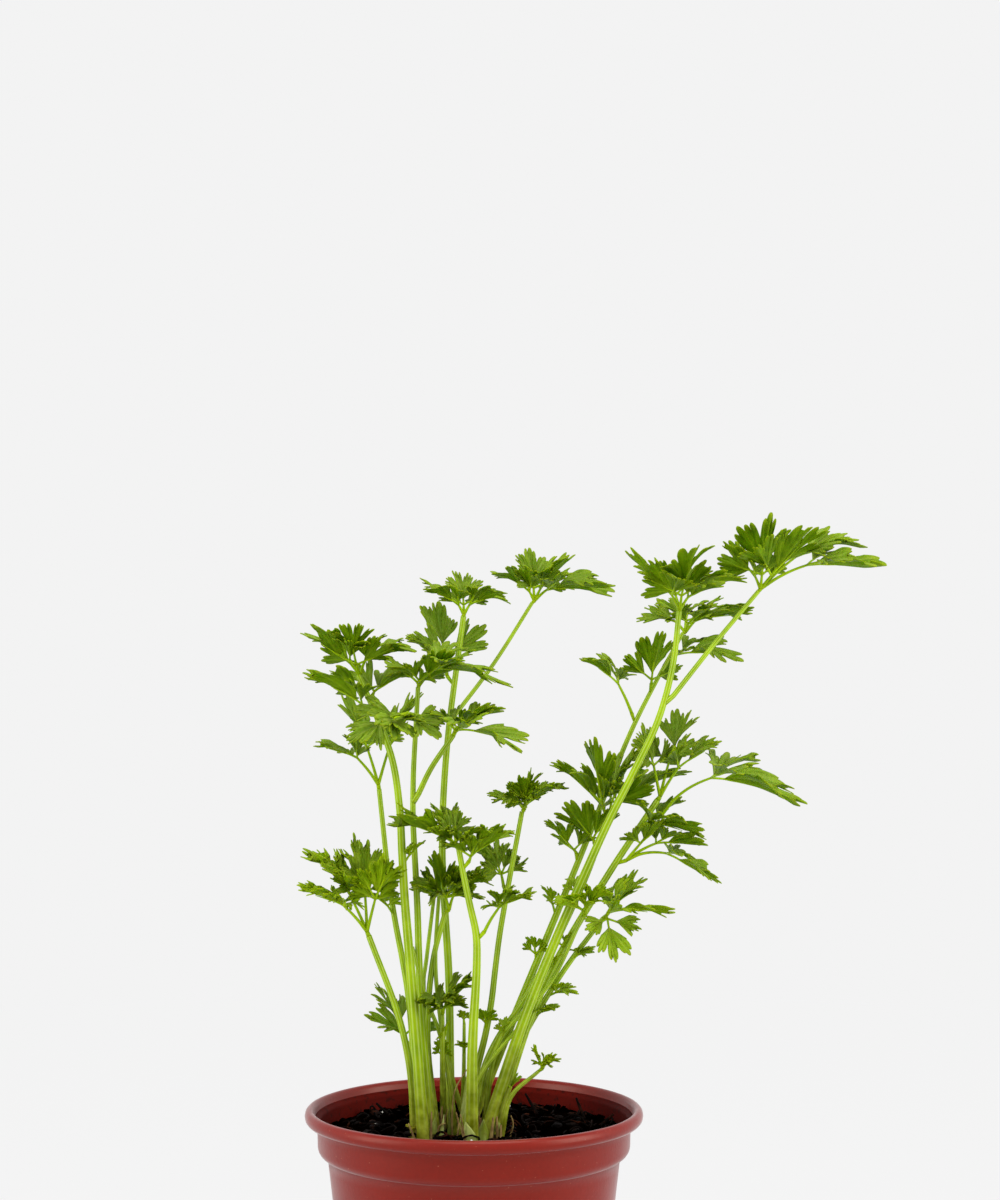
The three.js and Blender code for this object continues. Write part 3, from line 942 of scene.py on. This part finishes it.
# Thin stalks among the others: their points in millimetres, from the compost up.
THIN_STALKS = [
    ((-14.6, -4, 94), (-16, -4, 112), (-17.8, -4.5, 147), (-16.8, -5, 158), (-13.4, -3, 186)),
    ((-6.6, -6, 94), (-8.4, -7, 114), (-11.8, -8, 131.6), (-17.2, -9, 146), (-21.6, -9, 163)),
    ((-6, -12.6, 94), (1.4, -12.6, 116), (8, -12.2, 126), (16.6, -11, 136)),
    ((-1, -3, 94), (-9, -3, 120), (-12.5, -4, 142), (-13.6, -5, 160), (-12, -3, 186)),
]


def make_thin_stalks():
    shape = Shape()
    for places in THIN_STALKS:
        path = path_through(places, STALK_STEP)
        radii = [(0.95 - 0.35 * k / len(path)) * MM for k in range(len(path))]
        add_stalk(shape, path, radii, 40 * MM)
    shape.piece("stalks_thin", [STALK_SKIN], slot="stalk")


# Small side leaves: the tip in millimetres, and half the width.
SPRIGS = [
    ((21, -3, 166), 3.4), ((30.5, -9, 160), 3), ((34, -9, 168), 2.8), ((42, -10, 161), 4.2),
    ((36.5, -8, 146.5), 4.2), ((29.5, -9, 141), 3.8), ((25, -3, 184), 4), ((36, -9, 188), 4),
    ((-8.5, -12, 137), 4), ((-4, -11, 141), 3.6), ((3.6, -11, 141), 3.8), ((11.5, -9, 138), 4),
    ((-12, -11, 131), 3.6), ((-2.5, -12, 130), 3.2), ((17, -12, 118), 3.2), ((10.5, -12, 115), 2.8),
    ((-36, -6, 181), 6), ((-17, -17, 201), 5),
]


def make_sprigs(faces):
    """Each side leaf on a stem that arches over from the nearest stalk."""
    rng = random.Random("sprigs")
    leaves, stems = Shape(), Shape()
    for place, half_width in SPRIGS:
        tip = Vector(place) * MM
        root, _ = stalk_below(tip, drop=8)
        reach = tip - root
        over = root.lerp(tip, 0.5) + UP * 0.12 * reach.length
        path = smooth_path([root, over, tip], 0.5 * MM)
        split = max(2, len(path) // 3)
        add_stem(stems, path[: split + 1], 0.5 * MM, 0.36 * MM)
        side = Vector((-reach.y, reach.x, 0)).normalized()
        if reach.cross(side).z > 0:
            side = -side
        add_leaflet(leaves, stems, rng, path[split:], side, half_width * MM, FLAT)
    leaf = leaves.piece("leaf_sprigs", faces, slot="leaf")
    thicken(leaf)
    stems.piece("leafstem_sprigs", [STALK_SKIN], slot="stalk")


def make_plant():
    grown, lighter = leaf_faces(GROWN_LEAF), leaf_faces(LIGHTER_LEAF)
    # the sprigs take the lighter greens: painted light, a lighter green for leaves that sit in shade
    make_sprigs(lighter)
    for node in STALKS:
        make_stalk(node)
    make_thin_stalks()
    for node in sorted(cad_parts):
        if node.startswith("blade"):
            make_blade(node, lighter if node in LIGHTER_BLADES else grown)


# ---- crowns

SHEATHED = 0.3  # the share of stalks whose foot still has its sheath


def make_crown(node):
    """A lumpy root neck with the papery sheaths that wrap the feet of some of its stalks."""
    rng = random.Random(node)
    low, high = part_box(node)
    centre = (low + high) / 2
    radius = (high.x - low.x) / 2
    neck = Shape()
    neck.turn(neck_profile(0.8 * radius / MM, high.z), 28)
    neck.points = [lumpy(place, centre, high.z) for place in neck.points]
    sheaths = Shape()
    for path, radii in STALKS.values():
        foot = path[0]
        inside = (foot - centre).to_2d().length < radius + 1 * MM and foot.z < ROOTED_BELOW
        if inside and rng.random() < SHEATHED:
            add_sheath(sheaths, rng, foot, (path[1] - foot).normalized(), radii[0], foot - centre)
    neck.piece(node + "_neck", [crown_material()], slot="root", replaces=[node])
    if sheaths.points:
        sheaths.piece(node + "_sheaths", [sheath_material()], slot="stalk")


def neck_profile(broad, top):
    """A taproot that widens to a domed neck: its radii, and its heights from the top, in millimetres."""
    profile = [(0, -50), (1, -50), (2.6, -30), (4.2, -12), (broad, -4), (broad, -1.6)]
    profile += [(0.8 * broad, -0.2), (0.45 * broad, 0.5), (0, 0.7)]
    return [(r * MM, top + z * MM) for r, z in profile]


def lumpy(place, centre, top):
    """A corner of a crown moved to its centre, and up to a millimetre out or in near the top."""
    x, y, z = place
    rough = 0.9 * MM if z > top - 8 * MM else 0.2 * MM
    lump = noise.noise_vector(Vector(place) * 180 + centre * 90) * rough
    return Vector((x + centre.x, y + centre.y, z)) + lump


def add_sheath(shape, rng, foot, along, radius, outward):
    """A thin scale that hugs the outer side of a stalk and runs to a ragged tip."""
    height = rng.uniform(6, 12) * MM
    outward = square_to(outward, along)
    across = along.cross(outward).normalized()
    rows, columns = 9, 10
    outer, inner = [], []
    for i in range(rows + 1):
        t = i / rows
        half = 1.9 * (1 - t**2.2) + 0.05
        gap = radius * (1.25 - 0.2 * t) + 0.1 * MM
        for j in range(columns + 1):
            a = half * (2 * j / columns - 1)
            ripple = 0.12 * MM * math.sin(5 * a + 7 * t)
            direction = outward * math.cos(a) + across * math.sin(a)
            at = foot + along * (height * t - 3.5 * MM)
            outer.append(at + direction * (gap + ripple + 0.3 * MM))
            inner.append(at + direction * (gap + ripple))
    count = columns + 1
    grid = [[i * count + j for j in range(count)] for i in range(rows + 1)]
    shift = len(outer)
    faces = between(grid)
    faces += [tuple(shift + c for c in reversed(face)) for face in between(grid)]
    rim = grid[0][::-1] + [row[0] for row in grid[1:]]
    rim += grid[-1][1:] + [row[-1] for row in grid[-2:0:-1]]
    faces += [(a, b, shift + b, shift + a) for a, b in zip(rim, rim[1:] + rim[:1])]
    shape.add(outer + inner, faces)


# Loose scales among the feet: foot and tip in millimetres, and half the width.
SCALES = [
    ((-4.4, -12, 96), (-2.2, -11, 120.5), 1.7),
    ((-2.2, -14, 95), (-2.8, -13, 112.5), 1.6),
    ((-11.6, -15, 95), (-10.4, -14, 105), 1.3),
    ((-14.5, -13, 95), (-13, -13, 106), 0.8),
    ((9.4, -11, 95), (10.6, -11, 107), 1.1),
    ((-8.6, -5, 95), (-8, -5, 113), 1.2),
    ((-17.4, -14, 95), (-19.4, -14.6, 104), 1.2),
    ((5.2, -14.6, 95), (6.8, -15, 103), 1.1),
]
# Withered stems: their points in millimetres, and the radius.
WITHERED = [
    (((-7.4, -11, 95), (-7.6, -11.5, 104), (-6.6, -12, 113), (-2.2, -12, 120.8)), 0.36),
    (((-13, -14, 96), (-12, -14.5, 101), (-9.8, -15, 102)), 0.5),
    (((-5.8, -15.5, 96), (-5.2, -15.5, 102), (-6.2, -15, 106)), 0.4),
    (((12.4, -12, 96), (13.8, -12.5, 101), (13, -13, 104.5)), 0.36),
]


# A cut stub that leans on the compost, and a fallen scrap of leaf: their points in millimetres.
STUB = ((1.4, -14.4, 96), (4.6, -14, 98.6), (9.4, -13.6, 101.4))
STUB_RADIUS = 1.15 * MM
SCRAP = ((-17.5, -13.5, 97.5), (-20.5, -14, 99.5), (-24, -14, 101.2))
SCRAP_HALF_WIDTH = 3.2 * MM


def make_loose_scales():
    """Pale scales that stand among the stalks' feet, and the cut stub."""
    shape = Shape()
    for foot, tip, half_width in SCALES:
        path = path_through([foot, Vector(foot).lerp(Vector(tip), 0.5), tip])
        last = len(path) - 1
        radii = [half_width * MM * max(0.08, (1 - (k / last) ** 1.7)) for k in range(last + 1)]
        shape.tube(path, radii, 14, flat_section)
    stub = path_through(STUB)
    shape.tube(stub, [STUB_RADIUS] * len(stub), STALK_FACES, stalk_section)
    shape.piece("loose_scales", [sheath_material()], slot="stalk")


def flat_section(angle, _):
    """A scale's section: four times as wide as it is thick."""
    return 1 / math.hypot(math.sin(angle), 4 * math.cos(angle))


def twisted_section(angle, k):
    """A withered stem's three blunt ridges, which turn along it."""
    return 1 + 0.15 * math.cos(3 * angle + 0.4 * k)


def make_dead_stems():
    """Withered stems, and slivers of old sheath that stand in front of the stalks' feet."""
    shape = Shape()
    for places, radius in WITHERED:
        path = path_through(places)
        shape.tube(path, tapered(path, radius * MM, 0.5), 9, twisted_section)
    rng = random.Random("slivers")
    for path, radii in STALKS.values():
        if path[0].z > ROOTED_BELOW:
            continue
        for _ in range(2):
            angle = rng.uniform(-math.pi, 0)
            out = Vector((math.cos(angle), math.sin(angle), 0))
            base = path[0] + out * (radii[0] + 0.8 * MM) - UP * 2 * MM
            tip = base + out * rng.uniform(0, 2.5) * MM + UP * rng.uniform(5, 10) * MM
            sliver = smooth_path([base, tip], 1 * MM)
            shape.tube(sliver, tapered(sliver, rng.uniform(0.35, 0.7) * MM, 0.6), 7)
    shape.piece("dead_stems", [dead_material()], slot="root")


def make_scrap():
    """A yellowed scrap of leaf on the compost. It has lost its stems, so they are not made a piece."""
    leaves, stems = Shape(), Shape()
    path = path_through(SCRAP, 0.5 * MM)
    side = Vector((0.1, 1, 0)).normalized()
    add_leaflet(leaves, stems, random.Random("scrap"), path, side, SCRAP_HALF_WIDTH, FLAT)
    scrap = leaves.piece("leaf_scrap", [yellowed_material()] * 3, slot="leaf")
    thicken(scrap)


# ---- compost

SOIL_RADIUS = SOIL_HIGH.x
SOIL_LEVEL = SOIL_TOP - 1.4 * MM


def soil_height(x, y):
    """The compost's surface: a heaped, crumbly bed that sinks a little at the pot's wall."""
    at = Vector((x, y, 0))
    lumps = 1.3 * noise.noise(at * 70) + 0.9 * noise.noise(at * 190) + 0.55 * noise.noise(at * 480)
    edge = max(0, (math.hypot(x, y) / SOIL_RADIUS - 0.86) / 0.14)
    return SOIL_LEVEL + (lumps - 1.1 * edge**2) * MM


def make_soil():
    """The compost's body, with its surface in rings close enough together to carry the crumbs."""
    rings = 62
    wall = [(39.5, 2), (40.5, 3), (50.6, 88), (SOIL_RADIUS / MM - 0.2, 91.5)]
    profile = [(0, SOIL_LOW.z)] + [(r * MM, z * MM) for r, z in wall]
    profile += [(SOIL_RADIUS * (1 - (k / rings)), SOIL_LEVEL) for k in range(rings + 1)]
    shape = Shape()
    shape.turn(profile, 150)
    for k, (x, y, z) in enumerate(shape.points):
        if z > SOIL_LEVEL - 1 * MM:
            shape.points[k] = (x, y, soil_height(x, y))
    shape.piece("compost", [compost_material()], slot="compost", replaces=["soil"])


def spot(rng, reach=0.97):
    """A random place on the compost."""
    angle = rng.uniform(0, TAU)
    radius = SOIL_RADIUS * reach * math.sqrt(rng.random())
    return radius * math.cos(angle), radius * math.sin(angle)


def ball():
    """The corners and faces of a ball of 42 corners."""
    mesh = bpy.data.meshes.new("ball")
    bm = bmesh.new()
    bmesh.ops.create_icosphere(bm, subdivisions=2, radius=1)
    bm.to_mesh(mesh)
    bm.free()
    return [v.co.copy() for v in mesh.vertices], [tuple(p.vertices) for p in mesh.polygons]


BALL_POINTS, BALL_FACES = ball()


def add_lump(shape, rng, size, flatness, lift, rough):
    """A lump that lies on the compost, its middle a share `lift` of its height above the surface."""
    x, y = spot(rng)
    spin = Matrix.Rotation(rng.uniform(0, TAU), 3, "Z")
    spin = spin @ Matrix.Rotation(rng.uniform(-0.5, 0.5), 3, "X")
    scale = Vector((rng.uniform(0.7, 1.3), rng.uniform(0.6, 1.0), flatness * rng.uniform(0.7, 1.1)))
    centre = Vector((x, y, soil_height(x, y) + size * flatness * lift))
    offset = Vector((rng.uniform(0, 50), 0, 0))
    lump = []
    for p in BALL_POINTS:
        swell = size * (1 + rough * noise.noise(p * 1.6 + offset))
        lump.append(centre + spin @ (p * scale * swell))
    shape.add(lump, BALL_FACES)


# Bits of twig that stick out of the compost: foot and tip in millimetres.
TWIGS = [
    ((24, 26, 95), (18.5, 30, 104)),
    ((40, 20, 96), (37, 24, 103.5)),
    ((45, 10, 96), (50, 12, 100)),
    ((-30, 24, 96), (-36, 27, 101)),
]


def make_crumbs():
    """Peat crumbs, bark chips, fibres, perlite grains and twigs, strewn over the compost."""
    rng = random.Random("crumbs")
    crumbs, bark, grains = Shape(), Shape(), Shape()
    for _ in range(520):
        add_lump(crumbs, rng, rng.uniform(0.5, 1.9) * MM, 0.75, 0.25, 0.9)
    for _ in range(110):
        add_lump(bark, rng, rng.uniform(0.8, 2.6) * MM, 0.3, 0.9, 0.7)
    for _ in range(13):
        add_lump(grains, rng, rng.uniform(0.4, 1.1) * MM, 0.85, 0.6, 0.6)
    for _ in range(170):
        add_fibre(bark, rng)
    for twig in TWIGS:
        path = path_through(twig)
        bark.tube(path, tapered(path, 0.75 * MM, 0.5), 7)
    crumbs.piece("compost_crumbs", [compost_material()], slot="compost")
    bark.piece("compost_bark", [bark_material()], slot="compost")
    grains.piece("perlite_grains", [perlite_material()], slot="compost")


def add_fibre(shape, rng):
    """A curled root or bark fibre that lies on the compost."""
    x, y = spot(rng, 0.93)
    heading, bend = rng.uniform(0, TAU), rng.uniform(-0.5, 0.5)
    steps, step = rng.randint(5, 11), rng.uniform(0.8, 1.5) * MM
    lift = rng.uniform(0.2, 2.4) * MM
    path = []
    for k in range(steps):
        arch = lift * math.sin(math.pi * k / (steps - 1))
        path.append(Vector((x, y, soil_height(x, y) + arch + 0.2 * MM)))
        x, y = x + step * math.cos(heading), y + step * math.sin(heading)
        if math.hypot(x, y) > SOIL_RADIUS * 0.97:
            break
        heading += bend + rng.uniform(-0.3, 0.3)
    if len(path) > 3:
        thick = rng.uniform(0.16, 0.42) * MM
        shape.tube(path, [thick] * len(path), 6)


# ---- pot

POT_LOW, POT_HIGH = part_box("pot")
POT_SIDES = 144
DRAIN_HOLES, DRAIN_RADIUS, DRAIN_RING = 6, 4 * MM, 30 * MM


def pot_profile():
    """The pot's section in millimetres, from the middle of its underside out, up and back in."""
    rim, top = POT_HIGH.x / MM, POT_HIGH.z / MM
    step = top - 17
    outside = [(0, 0), (26, 0), (38.6, 0), (40.4, 0.25), (41.5, 0.9), (42.1, 2.1)]
    outside += [(42.1 + 9.8 * t, 2.1 + (step - 2.1) * t) for t in np.linspace(0.04, 1, 22)]
    for a in np.linspace(0.3, 1.57, 6):
        outside.append((52.2 + 3.2 * math.sin(a), step + 0.4 + 3.6 * (1 - math.cos(a))))
    collar = [(4.5, 8), (4.4, 5.9), (3.9, 5.2), (2.4, 5.05)]
    bead = [(1.0, 4.7), (0.2, 3.7), (0, 2.4), (0.3, 1.1), (1.0, 0.3), (1.9, 0), (2.8, 0.4), (3.4, 1.4)]
    lip = [(3.7, 2.9), (4.2, 3.6), (5.2, 4.0), (5.6, 4.8)]
    outside += [(rim - inward, top - down) for inward, down in collar + bead]
    inside = [(rim - inward, top - down) for inward, down in lip]
    inside += [(rim - 5.8, step + 4), (rim - 7.6, step + 1), (51, step - 1)]
    inside += [(51 - 10.2 * t, step - 1 + (2.6 - step + 1) * t) for t in np.linspace(0.1, 1, 8)]
    inside += [(39.8, 1.6), (38, 1.5), (0, 1.5)]
    return [(r * MM, z * MM) for r, z in outside + inside], len(outside)


def moulded(x, y, z):
    """A corner of the pot, moved by the wall's slight sway and by the two moulding seams up its side."""
    radius, angle = math.hypot(x, y), math.atan2(y, x)
    if radius <= 20 * MM:
        return x, y, z
    bulge = 0.04 * noise.noise(Vector((math.cos(angle), math.sin(angle), z * 14)) * 1.6)
    if z > 2 * MM:
        bulge += 0.10 * math.exp(-((math.remainder(angle - 0.25, math.pi) / 0.012) ** 2))
    grow = 1 + bulge * MM / radius
    return x * grow, y * grow, z


def make_pot():
    shape = Shape()
    profile, inside_from = pot_profile()
    shape.turn(profile, POT_SIDES)
    shape.points = [moulded(*point) for point in shape.points]
    first_inner = 1 + (inside_from - 1) * POT_SIDES
    shape.slots = [1 if min(face) >= first_inner else 0 for face in shape.faces]
    # the inner faces take the second material, whose darker red is painted shade
    materials = [pot_material(), pot_inside_shade_material()]
    pot = shape.piece("pot_shell", materials, slot="pot_plastic", replaces=["pot"])
    drill_drain_holes(pot)


def drill_drain_holes(pot):
    drill = Shape()
    for k in range(DRAIN_HOLES):
        angle = TAU * (k + 0.5) / DRAIN_HOLES
        x, y = DRAIN_RING * math.cos(angle), DRAIN_RING * math.sin(angle)
        path = [Vector((x, y, z * MM)) for z in (-2, 1, 4)]
        drill.tube(path, [DRAIN_RADIUS] * 3, 24)
    cutter = drill.piece("drain_drill", [])
    cut = pot.modifiers.new("drain holes", "BOOLEAN")
    cut.operation = "DIFFERENCE"
    cut.object = cutter
    apply_modifiers(pot)
    bpy.data.objects.remove(cutter)


make_camera()
make_light()
make_floor()
make_plant()
for crown in ("crown_left", "crown_back", "crown_right"):
    make_crown(crown)
make_loose_scales()
make_dead_stems()
make_scrap()
make_soil()
make_crumbs()
make_pot()
